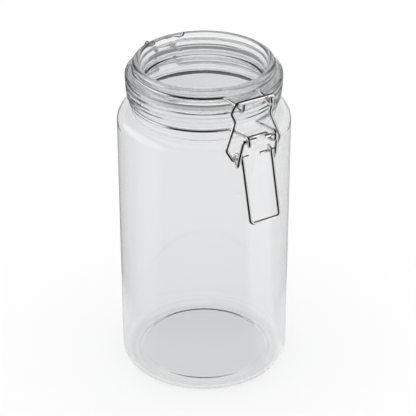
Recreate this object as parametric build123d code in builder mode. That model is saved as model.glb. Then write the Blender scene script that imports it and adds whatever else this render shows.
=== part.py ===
from build123d import *
import os
from math import cos, radians, sin

# Clip-top storage jar. Millimetres. The jar's axis is Z, its standing ring lies on Z = 0.
# The clamp is on the -Y side and the hinge on the +Y side.

# Jar
body_radius = 55.5
wall = 2.2
corner_radius = 7.8  # round between the body and the standing ring
stand_inner_radius = 44.5  # inner edge of the standing ring
punt_height = 1.8  # how far the middle of the base is raised
shoulder_top = 185.6
shoulder_radius = 9.0
neck_radius = 45.4  # bottom of the groove that holds the neck wire
neck_bore_radius = 42.2
land_height = 203.3  # the flat top of the jar, where the gasket seals
bead_radii = (49.0, 49.4, 49.6)  # the three beads of the finish, from the lowest up
bead_depth = 0.6  # depth of the nick between two beads

# Lid
flange_radius = 49.8
flange_bottom = 204.4
flange_top = 210.0
seat_height = 206.1  # the recess under the flange, which holds the gasket
plug_radius = 39.8
plug_bottom = 199.2
dish_floor = 203.8
rim_radius = 42.6  # middle of the round rim bead
rim_bead = 2.4
rim_height = 215.4

# Gasket
gasket_inner_radius = 40.1
gasket_outer_radius = 47.2
gasket_gap = 0.1  # light touch on the jar's land when the clamp is closed

# Wires
wire = 1.1  # radius of every wire
end_round = 0.3  # round on the cut ends of the wires
lid_ring_radius, lid_ring_height = 44.6, 212.0
neck_ring_radius, neck_ring_height = 46.6, 191.2
hinge_y, hinge_z = 57.5, 203.5  # axis of the lid's hinge
lever_y, lever_z = -66.0, 192.0  # axis of the lever in the neck wire's eyes
link_y, link_z = -59.2, 177.2  # axis of the link in the lever's loops
bar_y, bar_z = -59.0, 214.9  # the link's cross bar over the lid wire's hooks


def closed_outline(corners):
    """A closed line in the (radius, height) plane from rows of radius, height and corner round."""
    points = [(radius, height) for radius, height, _ in corners]
    rounds = [corner_round for _, _, corner_round in corners]
    FilletPolyline(*points, radius=rounds, close=True)


def left(corners):
    """The same corners on the -X side of the clamp's middle plane, in reverse order."""
    return [(-x, y, z) for x, y, z in reversed(corners)]


def ring_exit(ring_radius, ring_height, width, lead, side):
    """Where a wire leaves its ring on the +X side, width from the middle plane: the point on the
    ring and the corner one lead further along the tangent. side is -1 at the clamp, 1 at the hinge."""
    start_x = width + lead
    start_y = (ring_radius**2 - start_x**2) ** 0.5
    corner_x = start_x - lead * start_y / ring_radius
    corner_y = start_y + lead * start_x / ring_radius
    return (start_x, side * start_y, ring_height), (corner_x, side * corner_y, ring_height)


def round_cut_ends(bent_wire):
    """Take the sharp edge off the two flat ends of a wire."""
    fillet(bent_wire.faces().filter_by(GeomType.PLANE).edges(), end_round)


# ---------------------------------------------------------------- jar
with BuildPart() as glass_jar:
    with BuildSketch(Plane.XZ):
        with BuildLine():
            low_bead, middle_bead, top_bead = bead_radii
            closed_outline(
                [
                    (0, punt_height, 0),
                    (stand_inner_radius - 3.5, punt_height, 3),
                    (stand_inner_radius, 0, 1),
                    (body_radius, 0, corner_radius),
                    (body_radius, shoulder_top, shoulder_radius),
                    (neck_radius, shoulder_top, 1.1),
                    (neck_radius, 193.2, 0.8),
                    (low_bead, 194.9, 0.9),
                    (low_bead, 197.1, 0.4),
                    (low_bead - bead_depth, 197.7, 0.2),
                    (middle_bead, 198.3, 0.4),
                    (middle_bead, 199.9, 0.4),
                    (middle_bead - bead_depth, 200.5, 0.2),
                    (top_bead, 201.1, 0.4),
                    (top_bead, land_height, 0.7),
                    (neck_bore_radius, land_height, 0.8),
                    (neck_bore_radius, shoulder_top - wall, 2.6),
                    (body_radius - wall, shoulder_top - wall, shoulder_radius - wall),
                    (body_radius - wall, wall, corner_radius - wall),
                    (stand_inner_radius, wall, 3),
                    (stand_inner_radius - 3.5, punt_height + wall, 3),
                    (0, punt_height + wall, 0),
                ]
            )
        make_face()
    revolve(axis=Axis.Z)

# ---------------------------------------------------------------- lid
rim_outer = rim_radius + rim_bead
groove_radius = lid_ring_radius - wire - 0.15
bead_end = radians(50)  # the bead curls under by this angle, above the wire
rim_under = (rim_radius + rim_bead * cos(bead_end), rim_height - rim_bead * sin(bead_end))
groove_low = (44.4, 210.8)

with BuildPart() as glass_lid:
    with BuildSketch(Plane.XZ):
        with BuildLine():
            # dish: the floor, a wall with one fine step, and up to the rim
            FilletPolyline(
                (0, dish_floor),
                (37.5, dish_floor),
                (38.5, 209.9),
                (39.2, 210.4),
                (rim_radius - rim_bead, rim_height),
                radius=[1.6, 0.5, 0.5],
            )
            # rim: a round bead that curls in over the wire
            ThreePointArc(
                (rim_radius - rim_bead, rim_height),
                (rim_radius, rim_height + rim_bead),
                (rim_outer, rim_height),
            )
            ThreePointArc(
                (rim_outer, rim_height),
                (
                    rim_radius + rim_bead * cos(bead_end / 2),
                    rim_height - rim_bead * sin(bead_end / 2),
                ),
                rim_under,
            )
            # groove for the lid wire
            ThreePointArc(rim_under, (groove_radius, lid_ring_height), groove_low)
            # flange, gasket seat, plug and underside
            FilletPolyline(
                groove_low,
                (flange_radius, flange_top),
                (flange_radius, flange_bottom),
                (gasket_outer_radius + 0.4, flange_bottom),
                (gasket_outer_radius + 0.4, seat_height),
                (plug_radius, seat_height),
                (plug_radius, plug_bottom),
                (0, plug_bottom),
                radius=[1.3, 0.6, 0.3, 0, 0, 1.4],
            )
            Line((0, plug_bottom), (0, dish_floor))
        make_face()
    revolve(axis=Axis.Z)

# ---------------------------------------------------------------- gasket
with BuildPart() as sealing_gasket:
    with BuildSketch(Plane.XZ):
        with BuildLine():
            gasket_bottom = land_height + gasket_gap
            closed_outline(
                [
                    (gasket_inner_radius, gasket_bottom, 0.5),
                    (gasket_outer_radius, gasket_bottom, 0.9),
                    (gasket_outer_radius, seat_height, 0.3),
                    (gasket_inner_radius, seat_height, 0.3),
                ]
            )
        make_face()
    revolve(axis=Axis.Z)

# ---------------------------------------------------------------- lid wire
# A ring in the lid's groove. At the front it ends in two hooks, open upwards, that hold the
# link's cross bar. At the back it runs out over the flange and down to the straight hinge bar.
hook = [
    *ring_exit(lid_ring_radius, lid_ring_height, 11.6, 1.8, -1),
    (10.5, -54.8, 211.8),
    (10.4, -56.8, 210.0),
    (10.3, -60.9, 209.8),
    (10.0, -62.9, 212.3),
    (9.6, -62.4, 215.2),
]
hook_rounds = [1.5, 2.0, 1.4, 1.4, 1.6]
hinge_arm = [
    *ring_exit(lid_ring_radius, lid_ring_height, 11.6, 1.8, 1),
    (11.4, 52.6, 211.4),
    (11.2, hinge_y, hinge_z),
]
hinge_rounds = [1.5, 2.8, 2.2]

with BuildPart() as lid_bail_wire:
    with BuildLine() as lid_wire_path:
        FilletPolyline(*left(hook), radius=hook_rounds[::-1])
        ThreePointArc(left(hook)[-1], (-lid_ring_radius, 0, lid_ring_height), left(hinge_arm)[-1])
        FilletPolyline(
            *left(hinge_arm)[::-1], *hinge_arm[::-1], radius=hinge_rounds + hinge_rounds[::-1]
        )
        ThreePointArc(hinge_arm[0], (lid_ring_radius, 0, lid_ring_height), hook[0])
        FilletPolyline(*hook, radius=hook_rounds)
    with BuildSketch(Plane(origin=lid_wire_path.line @ 0, z_dir=lid_wire_path.line % 0)):
        Circle(wire)
    sweep(path=lid_wire_path.wires()[0])
    round_cut_ends(lid_bail_wire)

# ---------------------------------------------------------------- neck wire
# A ring in the neck's groove. At the front two arms turn down round the lever's axis into long
# eyes, joined by a cross bar on the jar's side. At the back its two ends curl round the hinge bar.
eye = [
    *ring_exit(neck_ring_radius, neck_ring_height, 9.9, 1.8, -1),
    (9.5, lever_y - 2.6, lever_z + 3.1),
    (9.1, lever_y - 2.6, lever_z - 3.3),
    (7.4, lever_y + 3.2, lever_z - 3.4),
    (7.0, lever_y + 3.2, lever_z + 0.2),
]
eye_rounds = [1.5, 2.6, 2.2, 1.8, 1.6]
hinge_eye = [
    *ring_exit(neck_ring_radius, neck_ring_height, 8.0, 1.8, 1),
    (7.8, hinge_y - 3.9, 193.4),
    (7.6, hinge_y - 2.9, hinge_z + 2.7),
    (7.4, hinge_y + 2.7, hinge_z + 2.7),
    (7.2, hinge_y + 2.7, hinge_z - 2.9),
    (7.1, hinge_y - 0.2, hinge_z - 2.9),
]
hinge_eye_rounds = [1.5, 2.4, 2.2, 2.2, 1.8]

with BuildPart() as neck_bail_wire:
    with BuildLine() as neck_wire_path:
        FilletPolyline(*left(hinge_eye), radius=hinge_eye_rounds[::-1])
        ThreePointArc(left(hinge_eye)[-1], (-neck_ring_radius, 0, neck_ring_height), left(eye)[-1])
        FilletPolyline(*left(eye)[::-1], *eye[::-1], radius=eye_rounds + eye_rounds[::-1])
        ThreePointArc(eye[0], (neck_ring_radius, 0, neck_ring_height), hinge_eye[0])
        FilletPolyline(*hinge_eye, radius=hinge_eye_rounds)
    with BuildSketch(Plane(origin=neck_wire_path.line @ 0, z_dir=neck_wire_path.line % 0)):
        Circle(wire)
    sweep(path=neck_wire_path.wires()[0])
    round_cut_ends(neck_bail_wire)

# ---------------------------------------------------------------- link
# The cross bar, then on each side a bulge, a waist, a wide shoulder and an inward stub.
link_side = [
    (13.4, bar_y, bar_z),
    (14.6, -56.2, 207.8),
    (12.3, -57.2, 202.2),
    (19.3, -58.2, 184.6),
    (15.3, link_y, link_z),
    (3.8, link_y, link_z),
]
link_rounds = [2.0, 3.0, 3.5, 3.0, 1.5]

with BuildPart() as latch_link:
    with BuildLine() as link_path:
        FilletPolyline(*left(link_side), *link_side, radius=link_rounds[::-1] + link_rounds)
    with BuildSketch(Plane(origin=link_path.line @ 0, z_dir=link_path.line % 0)):
        Circle(wire)
    sweep(path=link_path.wires()[0])
    round_cut_ends(latch_link)

# ---------------------------------------------------------------- lever
# An inward stub in the neck wire's eye, a crank down past the link's stub, a turn back under and
# over that stub, and the long leg of the U handle.
lever_side = [
    (10.4, -72.9, 137.9),
    (10.5, link_y - 3.0, link_z + 2.5),
    (11.7, link_y + 2.2, link_z + 2.8),
    (12.7, link_y + 3.1, link_z - 1.2),
    (13.1, link_y - 1.9, link_z - 4.8),
    (13.2, link_y - 3.8, link_z + 0.8),
    (11.9, lever_y, lever_z),
    (2.8, lever_y, lever_z),
]
lever_rounds = [2.6, 1.5, 1.4, 1.4, 1.2, 2.0, 1.5]

with BuildPart() as latch_lever:
    with BuildLine() as lever_path:
        FilletPolyline(*left(lever_side), *lever_side, radius=lever_rounds[::-1] + lever_rounds)
    with BuildSketch(Plane(origin=lever_path.line @ 0, z_dir=lever_path.line % 0)):
        Circle(wire)
    sweep(path=lever_path.wires()[0])
    round_cut_ends(latch_lever)

# ---------------------------------------------------------------- export
os.makedirs("parts", exist_ok=True)

glass_jar.part.label = "glass_jar"
export_step(glass_jar.part, "parts/glass_jar.step")
glass_lid.part.label = "glass_lid"
export_step(glass_lid.part, "parts/glass_lid.step")
sealing_gasket.part.label = "sealing_gasket"
export_step(sealing_gasket.part, "parts/sealing_gasket.step")
lid_bail_wire.part.label = "lid_bail_wire"
export_step(lid_bail_wire.part, "parts/lid_bail_wire.step")
neck_bail_wire.part.label = "neck_bail_wire"
export_step(neck_bail_wire.part, "parts/neck_bail_wire.step")
latch_link.part.label = "latch_link"
export_step(latch_link.part, "parts/latch_link.step")
latch_lever.part.label = "latch_lever"
export_step(latch_lever.part, "parts/latch_lever.step")
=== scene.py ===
import math

import bmesh
import bpy
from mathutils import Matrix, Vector


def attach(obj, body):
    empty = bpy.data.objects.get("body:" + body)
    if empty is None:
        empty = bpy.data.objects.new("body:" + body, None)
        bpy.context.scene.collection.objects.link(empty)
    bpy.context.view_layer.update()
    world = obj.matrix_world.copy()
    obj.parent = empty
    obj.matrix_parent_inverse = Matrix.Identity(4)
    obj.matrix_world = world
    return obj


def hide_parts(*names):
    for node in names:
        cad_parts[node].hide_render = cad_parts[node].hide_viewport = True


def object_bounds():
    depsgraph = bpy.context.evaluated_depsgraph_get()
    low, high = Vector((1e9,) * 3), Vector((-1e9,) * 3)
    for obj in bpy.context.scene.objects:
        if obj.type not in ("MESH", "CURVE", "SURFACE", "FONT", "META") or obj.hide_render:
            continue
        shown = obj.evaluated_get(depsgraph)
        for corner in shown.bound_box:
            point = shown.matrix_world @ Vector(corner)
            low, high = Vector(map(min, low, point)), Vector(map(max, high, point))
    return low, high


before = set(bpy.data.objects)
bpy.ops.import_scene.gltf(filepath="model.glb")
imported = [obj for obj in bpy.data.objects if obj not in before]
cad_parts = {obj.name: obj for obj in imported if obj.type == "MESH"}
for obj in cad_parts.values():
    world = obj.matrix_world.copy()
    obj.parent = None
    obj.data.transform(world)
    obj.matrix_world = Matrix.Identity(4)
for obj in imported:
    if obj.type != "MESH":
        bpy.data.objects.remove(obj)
cad_low, cad_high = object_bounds()
scene = bpy.context.scene

MM = 0.001
TURN = 256  # segments round every turned piece, a multiple of 4 so that it fills the CAD box
MERGE = 2e-6  # points of a cut closer than this are one point
TINY = 1e-6  # a radius or a bend smaller than this is none
GASKET_SHRINK = 0.05  # in mm, keeps the gasket's skin off the lid's glass

# Materials
GLASS_SKIN = (0.93, 0.93, 0.935, 1)
GLASS_TINT = (0.66, 0.68, 0.69, 1)
GLASS_DENSITY = 36.0  # how fast the tint grows with depth, per metre
GLASS_IOR = 1.5
SILICONE_SKIN = (0.97, 0.975, 0.975, 1)
SILICONE_IOR = 1.41
STEEL = (0.86, 0.855, 0.85, 1)
PASSED_LIGHT = (0.985, 0.985, 0.985, 1)  # what one clear surface lets by of a lamp's light
NOISE_SPAN = (0.35, 0.65)  # most values of a noise texture lie between these
PAPER = (0.9, 0.9, 0.9, 1)
WHITE = (1, 1, 1, 1)

# The camera stands to the left of the clamp, which faces -Y, and looks down on the jar.
VIEW_AZIMUTH = math.radians(-31.2)
VIEW_ELEVATION = math.radians(30.27)
VIEW_DISTANCE = 1.1139
VIEW_LENS = 146.64
VIEW_SIDE_STEP = 2.54 * MM  # the jar's axis lies a little left of the picture's middle
VIEW_LIFT = 1.0 * MM  # and its half height a little below

# The studio stands still and is squared to the photo's line of sight. Metal and glass mirror lit
# walls at the sides and behind, and a dark side towards the photo's camera. Each pair below says
# where a change starts and ends. DARK_SIDE and BACK_WALL are cosines of the angle from the line of
# sight, seen from above. The others are parts of a direction of length 1: upwards for CEILING,
# UPPER_WALL and LAMP, and to the right for LEFT_LAMP and LEFT_GLOW.
DARK_SIDE = (-0.65, -0.45)
BACK_WALL = (-0.25, 0.15)
SIDES_MEET = 0.02  # half the width of the change from the left wall to the right one
DARK, LEFT_WALL, RIGHT_WALL, BACK = 0.01, 0.6, 1.5, 0.25
CEILING = (0.35, 0.6)  # where the walls fade to a black ceiling, as they are mirrored
LEFT_LAMP = (-0.85, -0.7)  # where the lamp at the left ends, as it is mirrored
LEFT_LAMP_LIGHT = 1.35
SOFT_LIGHT = 1.12  # the even light that falls on everything and shows behind it
UPPER_WALL = (0.25, 0.45)  # where the soft light dims, as glass refracts it
UPPER_LIGHT = 0.3
LAMP = (0.7, 0.85)  # where the lamp over the jar begins, as glass refracts it
LAMP_LIGHT = 1.3
LEFT_GLOW = (-0.85, -0.65)  # where the left lamp ends, as glass refracts it
LEFT_GLOW_LIGHT = 1.2

# The floor. Where it is mirrored, it glows with a painted reflection: pale round the jar, and with
# the walls' light further out.
FLOOR_RADIUS = 14
FLOOR_SEGMENTS = 96
MIRROR_GLOW_EDGE = 0.09  # how far from the jar's axis the mirrored floor stays pale
MIRROR_GLOW_FADE = 0.06  # and over how much it then fades
MIRROR_GLOW_LIGHT = 0.7
FLOOR_LIMIT = 1.1  # the brightest that the floor is mirrored


# ---------------------------------------------------------------- turned glass and silicone
def cut_points(node):
    """The (radius, height) points where a turned CAD node's mesh meets the half-plane y = 0,
    x > 0, in order along the outline. An outline that starts on the axis also ends on it."""
    bm = bmesh.new()
    bm.from_mesh(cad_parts[node].data)
    bmesh.ops.remove_doubles(bm, verts=bm.verts, dist=MERGE)
    bmesh.ops.bisect_plane(
        bm,
        geom=bm.verts[:] + bm.edges[:] + bm.faces[:],
        dist=TINY,
        plane_co=(0, 0, 0),
        plane_no=(0, 1, 0),
        clear_inner=True,
        clear_outer=True,
    )
    bmesh.ops.delete(bm, geom=[v for v in bm.verts if v.co.x < TINY], context="VERTS")
    bmesh.ops.remove_doubles(bm, verts=bm.verts, dist=MERGE)
    ends = [v for v in bm.verts if len(v.link_edges) == 1]
    vert = min(ends, key=lambda v: v.co.z) if ends else max(bm.verts, key=lambda v: v.co.x)
    chain, seen = [], set()
    while vert is not None:
        chain.append((vert.co.x, vert.co.z))
        seen.add(vert)
        after = [e.other_vert(vert) for e in vert.link_edges]
        vert = next((v for v in after if v not in seen), None)
    bm.free()
    if ends:
        return [(0.0, chain[0][1]), *chain, (0.0, chain[-1][1])], False
    return chain, True


def spaced(points, closed, longest=5 * MM, edge=0.35 * MM):
    """The outline without points in the middle of straight runs, then with each long run divided:
    once near each end, so that the smooth shading of a round never spreads along a flat wall, and
    evenly between."""
    count = len(points)
    kept = []
    for i, (r, z) in enumerate(points):
        if not closed and i in (0, count - 1):
            kept.append((r, z))
            continue
        (r0, z0), (r1, z1) = points[i - 1], points[(i + 1) % count]
        run = math.hypot(r1 - r0, z1 - z0)
        off = abs((r1 - r0) * (z - z0) - (z1 - z0) * (r - r0)) / max(run, 1e-9)
        if off > TINY:
            kept.append((r, z))
    out = []
    pairs = list(zip(kept, kept[1:] + kept[:1])) if closed else list(zip(kept, kept[1:]))
    for (r0, z0), (r1, z1) in pairs:
        run = math.hypot(r1 - r0, z1 - z0)
        stops = [0.0]
        if run > 3 * edge:
            inner = max(1, math.ceil((run - 2 * edge) / longest))
            stops += [(edge + (run - 2 * edge) * k / inner) / run for k in range(inner + 1)]
        out += [(r0 + (r1 - r0) * s, z0 + (z1 - z0) * s) for s in stops]
    return out if closed else out + [kept[-1]]


def turned(name, node):
    """A smooth turned mesh with the outline of a CAD node, which it replaces."""
    points, closed = cut_points(node)
    points = spaced(points, closed)
    bm = bmesh.new()
    rows = []
    for r, z in points:
        if r < TINY:
            rows.append([bm.verts.new((0, 0, z))])
            continue
        angles = [2 * math.pi * k / TURN for k in range(TURN)]
        rows.append([bm.verts.new((r * math.cos(a), r * math.sin(a), z)) for a in angles])
    pairs = list(zip(rows, rows[1:] + rows[:1])) if closed else list(zip(rows, rows[1:]))
    for low, high in pairs:
        for k in range(TURN):
            following = (k + 1) % TURN
            corners = [low[k % len(low)], low[following % len(low)]]
            corners += [high[following % len(high)], high[k % len(high)]]
            unique = list(dict.fromkeys(corners))
            if len(unique) > 2:
                bm.faces.new(unique)
    bmesh.ops.recalc_face_normals(bm, faces=bm.faces)
    mesh = bpy.data.meshes.new(name)
    bm.to_mesh(mesh)
    bm.free()
    mesh.shade_smooth()
    piece = bpy.data.objects.new(name, mesh)
    scene.collection.objects.link(piece)
    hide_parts(node)
    return piece


# ---------------------------------------------------------------- materials
def new_material(name):
    """A node material, its node tree, its surface shader and its output."""
    material = bpy.data.materials.new(name)
    material.use_nodes = True
    tree = material.node_tree
    return material, tree, tree.nodes["Principled BSDF"], tree.nodes["Material Output"]


def noise(tree, scale, detail=2.0, stretch=(1, 1, 1)):
    """A noise texture in the piece's own metres, scale features to the metre."""
    coords = tree.nodes.new("ShaderNodeTexCoord")
    mapping = tree.nodes.new("ShaderNodeMapping")
    mapping.inputs["Scale"].default_value = stretch
    texture = tree.nodes.new("ShaderNodeTexNoise")
    texture.inputs["Scale"].default_value = scale
    texture.inputs["Detail"].default_value = detail
    tree.links.new(coords.outputs["Object"], mapping.inputs["Vector"])
    tree.links.new(mapping.outputs["Vector"], texture.inputs["Vector"])
    return texture.outputs["Fac"]


def ranged(tree, value, low, high):
    """A noise value, spread between low and high."""
    node = tree.nodes.new("ShaderNodeMapRange")
    node.inputs["From Min"].default_value, node.inputs["From Max"].default_value = NOISE_SPAN
    node.inputs["To Min"].default_value = low
    node.inputs["To Max"].default_value = high
    tree.links.new(value, node.inputs["Value"])
    return node.outputs["Result"]


def bumped(tree, value, height, strength=1.0, below=None):
    """A surface normal with bumps of this height, over those of another normal."""
    node = tree.nodes.new("ShaderNodeBump")
    node.inputs["Strength"].default_value = strength
    node.inputs["Distance"].default_value = height
    tree.links.new(value, node.inputs["Height"])
    if below is not None:
        tree.links.new(below, node.inputs["Normal"])
    return node.outputs["Normal"]


def let_light_by(tree, surface):
    """The surface, except that light on its way from a lamp or a wall passes it straight."""
    path = tree.nodes.new("ShaderNodeLightPath")
    clear = tree.nodes.new("ShaderNodeBsdfTransparent")
    clear.inputs["Color"].default_value = PASSED_LIGHT
    for ray in ("Is Shadow Ray", "Is Diffuse Ray"):
        mix = tree.nodes.new("ShaderNodeMixShader")
        tree.links.new(path.outputs[ray], mix.inputs["Fac"])
        tree.links.new(surface, mix.inputs[1])
        tree.links.new(clear.outputs["BSDF"], mix.inputs[2])
        surface = mix.outputs["Shader"]
    return surface


def glass(name, wave_scale, wave_height, roughness):
    """Clear moulded glass: slow waves in its surface, faint haze from handling, and a grey tint
    that grows with depth. Light from lamps passes it straight, so that it throws no hard shadow."""
    material, tree, shader, output = new_material(name)
    shader.inputs["Base Color"].default_value = GLASS_SKIN
    shader.inputs["Transmission Weight"].default_value = 1.0
    shader.inputs["IOR"].default_value = GLASS_IOR
    haze = ranged(tree, noise(tree, scale=70, detail=3.0), *roughness)
    tree.links.new(haze, shader.inputs["Roughness"])
    waves = noise(tree, wave_scale, detail=1.0, stretch=(1, 1, 0.35))
    wave = bumped(tree, waves, wave_height)
    tree.links.new(wave, shader.inputs["Normal"])
    tree.links.new(let_light_by(tree, shader.outputs["BSDF"]), output.inputs["Surface"])
    depth = tree.nodes.new("ShaderNodeVolumeAbsorption")
    depth.inputs["Color"].default_value = GLASS_TINT
    depth.inputs["Density"].default_value = GLASS_DENSITY
    tree.links.new(depth.outputs["Volume"], output.inputs["Volume"])
    return material


def silicone(name):
    """Clear soft rubber, satin on its skin."""
    material, tree, shader, output = new_material(name)
    shader.inputs["Base Color"].default_value = SILICONE_SKIN
    shader.inputs["Transmission Weight"].default_value = 0.75
    shader.inputs["IOR"].default_value = SILICONE_IOR
    satin = ranged(tree, noise(tree, scale=300), low=0.0, high=0.02)
    tree.links.new(satin, shader.inputs["Roughness"])
    grain = bumped(tree, noise(tree, scale=900), height=0.01 * MM, strength=0.4)
    tree.links.new(grain, shader.inputs["Normal"])
    tree.links.new(let_light_by(tree, shader.outputs["BSDF"]), output.inputs["Surface"])
    return material


def steel(name):
    """Bright drawn wire: polished, with a fine grain, shallow dents and duller patches."""
    material, tree, shader, _ = new_material(name)
    shader.inputs["Base Color"].default_value = STEEL
    shader.inputs["Metallic"].default_value = 1.0
    dull = ranged(tree, noise(tree, scale=260, detail=4.0), low=0.07, high=0.17)
    tree.links.new(dull, shader.inputs["Roughness"])
    fine, coarse = noise(tree, scale=1400, detail=3.0), noise(tree, scale=120, detail=1.0)
    marks = bumped(tree, fine, height=0.01 * MM, strength=0.35)
    dents = bumped(tree, coarse, height=0.05 * MM, strength=0.4, below=marks)
    tree.links.new(dents, shader.inputs["Normal"])
    return material


def dress(piece, material):
    """Give the piece this one material."""
    piece.data.materials.clear()
    piece.data.materials.append(material)


# ---------------------------------------------------------------- pieces
jar = turned("jar_body", "glass_jar")
jar_glass = glass("jar_glass_clear", wave_scale=28, wave_height=0.05 * MM, roughness=(0.0, 0.012))
dress(jar, jar_glass)
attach(jar, "jar")

lid = turned("lid_body", "glass_lid")
lid_glass = glass("lid_glass_clear", wave_scale=55, wave_height=0.05 * MM, roughness=(0.0, 0.015))
dress(lid, lid_glass)
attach(lid, "lid")

gasket = turned("sealing_ring", "sealing_gasket")
dress(gasket, silicone("silicone_clear"))
for v in gasket.data.vertices:
    v.co -= v.normal * GASKET_SHRINK * MM
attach(gasket, "lid")

wire_steel = steel("wire_bright_steel")
for node in ("lid_bail_wire", "neck_bail_wire", "latch_link", "latch_lever"):
    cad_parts[node].material_slots[0].material = wire_steel


# ---------------------------------------------------------------- floor, light and camera
def chained(tree, kind, *values, operation=None):
    """A node whose first inputs are set to these numbers or linked to these outputs."""
    node = tree.nodes.new(kind)
    if operation:
        node.operation = operation
    for place, value in zip(node.inputs, values):
        if isinstance(value, bpy.types.NodeSocket):
            tree.links.new(value, place)
        else:
            place.default_value = value
    return node


def worked_out(tree, operation, first, second):
    """The output of a math node."""
    node = chained(tree, "ShaderNodeMath", first, second, operation=operation)
    return node.outputs["Value"]


def stepped(tree, value, start, end, low, high):
    """low until value reaches start, high from end on, and a smooth change between them."""
    node = tree.nodes.new("ShaderNodeMapRange")
    node.interpolation_type = "SMOOTHSTEP"
    limits = ("From Min", "From Max", "To Min", "To Max")
    for name, number in zip(limits, (start, end, low, high)):
        node.inputs[name].default_value = number
    tree.links.new(value, node.inputs["Value"])
    return node.outputs["Result"]


def studio_walls(tree, coordinates):
    """The walls' light by compass direction, the flat distance from the middle, and the
    coordinates turned to the photo's side: X to its right, Y away from it, Z upwards."""
    turned_round = chained(tree, "ShaderNodeMapping", coordinates)
    turned_round.inputs["Rotation"].default_value = (0, 0, -VIEW_AZIMUTH)
    way = turned_round.outputs["Vector"]
    split = chained(tree, "ShaderNodeSeparateXYZ", way)
    flat = chained(tree, "ShaderNodeVectorMath", way, (1, 1, 0), operation="MULTIPLY")
    length = chained(tree, "ShaderNodeVectorMath", flat.outputs["Vector"], operation="LENGTH")
    reach = length.outputs["Value"]
    depth = worked_out(tree, "DIVIDE", split.outputs["Y"], reach)
    side = stepped(tree, split.outputs["X"], -SIDES_MEET, SIDES_MEET, LEFT_WALL, RIGHT_WALL)
    front = stepped(tree, depth, *DARK_SIDE, DARK, 1.0)
    back = stepped(tree, depth, *BACK_WALL, 1.0, BACK)
    walls = worked_out(tree, "MULTIPLY", worked_out(tree, "MULTIPLY", front, back), side)
    return walls, reach, split


def mirrored_rays(tree):
    """1 for light that was mirrored last, 0 for light seen directly or through glass."""
    path = tree.nodes.new("ShaderNodeLightPath")
    glossy, refracted = path.outputs["Is Glossy Ray"], path.outputs["Is Transmission Ray"]
    return worked_out(tree, "SUBTRACT", glossy, refracted)


def stage_floor():
    """Pale paper. Where it is mirrored, it glows instead with a painted reflection: pale near the
    jar and with the walls' light further out.
    """
    bm = bmesh.new()
    bmesh.ops.create_circle(bm, cap_ends=True, segments=FLOOR_SEGMENTS, radius=FLOOR_RADIUS)
    mesh = bpy.data.meshes.new("floor")
    bm.to_mesh(mesh)
    bm.free()
    floor = bpy.data.objects.new("floor", mesh)
    scene.collection.objects.link(floor)
    material, tree, shader, output = new_material("floor_paper_and_mirror_glow")
    shader.inputs["Base Color"].default_value = PAPER
    shader.inputs["Roughness"].default_value = 1.0
    shader.inputs["Specular IOR Level"].default_value = 0.0
    coords = tree.nodes.new("ShaderNodeTexCoord")
    walls, reach, _ = studio_walls(tree, coords.outputs["Object"])
    # Painted reflection: the floor's glow as mirrors see it, pale near the jar and with the walls'
    # light further out.
    near = stepped(tree, reach, MIRROR_GLOW_EDGE, MIRROR_GLOW_EDGE + MIRROR_GLOW_FADE, MIRROR_GLOW_LIGHT, 0.0)
    glow = worked_out(tree, "MAXIMUM", near, worked_out(tree, "MINIMUM", walls, FLOOR_LIMIT))
    mirrored = chained(tree, "ShaderNodeEmission", WHITE, glow)
    mix = chained(
        tree,
        "ShaderNodeMixShader",
        mirrored_rays(tree),
        shader.outputs["BSDF"],
        mirrored.outputs["Emission"],
    )
    tree.links.new(mix.outputs["Shader"], output.inputs["Surface"])
    dress(floor, material)


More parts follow.
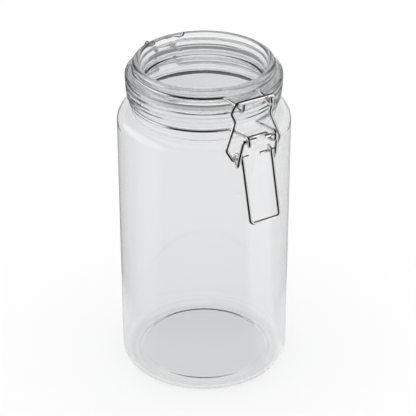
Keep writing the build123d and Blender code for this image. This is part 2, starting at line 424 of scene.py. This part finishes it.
def studio_world():
    """Even soft light, except in what metal and glass mirror, and in what glass refracts."""
    world = bpy.data.worlds.new("studio")
    world.use_nodes = True
    tree = world.node_tree
    tree.nodes.clear()
    coords = tree.nodes.new("ShaderNodeTexCoord")
    walls, _, way = studio_walls(tree, coords.outputs["Generated"])
    right, up = way.outputs["X"], way.outputs["Z"]

    below_ceiling = stepped(tree, up, *CEILING, 1.0, 0.0)
    left = stepped(tree, right, *LEFT_LAMP, LEFT_LAMP_LIGHT, 0.0)
    glow = worked_out(tree, "MAXIMUM", worked_out(tree, "MULTIPLY", walls, below_ceiling), left)
    mirrored = chained(tree, "ShaderNodeBackground", WHITE, glow)

    upper = stepped(tree, up, *UPPER_WALL, SOFT_LIGHT, UPPER_LIGHT)
    lamp = stepped(tree, up, *LAMP, 0.0, LAMP_LIGHT)
    left = stepped(tree, right, *LEFT_GLOW, LEFT_GLOW_LIGHT, 0.0)
    through = worked_out(tree, "MAXIMUM", worked_out(tree, "MAXIMUM", upper, lamp), left)
    refracted = chained(tree, "ShaderNodeBackground", WHITE, through)

    soft = chained(tree, "ShaderNodeBackground", WHITE, SOFT_LIGHT)
    path = tree.nodes.new("ShaderNodeLightPath")
    mix = chained(
        tree,
        "ShaderNodeMixShader",
        path.outputs["Is Transmission Ray"],
        soft.outputs["Background"],
        refracted.outputs["Background"],
    )
    mix = chained(
        tree,
        "ShaderNodeMixShader",
        mirrored_rays(tree),
        mix.outputs["Shader"],
        mirrored.outputs["Background"],
    )
    output = tree.nodes.new("ShaderNodeOutputWorld")
    tree.links.new(mix.outputs["Shader"], output.inputs["Surface"])
    scene.world = world


def stage_camera():
    """The photo's camera, aimed close to the object's half height, a little beside the axis."""
    data = bpy.data.cameras.new("camera")
    data.lens = VIEW_LENS
    camera = bpy.data.objects.new("camera", data)
    scene.collection.objects.link(camera)
    azimuth, elevation = VIEW_AZIMUTH, VIEW_ELEVATION
    flat = math.cos(elevation)
    back = Vector((math.sin(azimuth) * flat, -math.cos(azimuth) * flat, math.sin(elevation)))
    right = Vector((math.cos(azimuth), math.sin(azimuth), 0))
    middle = Vector((0, 0, (cad_low.z + cad_high.z) / 2 + VIEW_LIFT)) + right * VIEW_SIDE_STEP
    camera.location = middle + back * VIEW_DISTANCE
    camera.rotation_mode = "QUATERNION"
    camera.rotation_quaternion = (-back).to_track_quat("-Z", "Y")
    scene.camera = camera


stage_floor()
studio_world()
stage_camera()
scene.view_settings.view_transform = "Standard"

# Light meets many glass surfaces before it leaves the jar, so it is followed for many bounces.
scene.cycles.max_bounces = 32
scene.cycles.transmission_bounces = 28
scene.cycles.transparent_max_bounces = 32
scene.cycles.glossy_bounces = 8
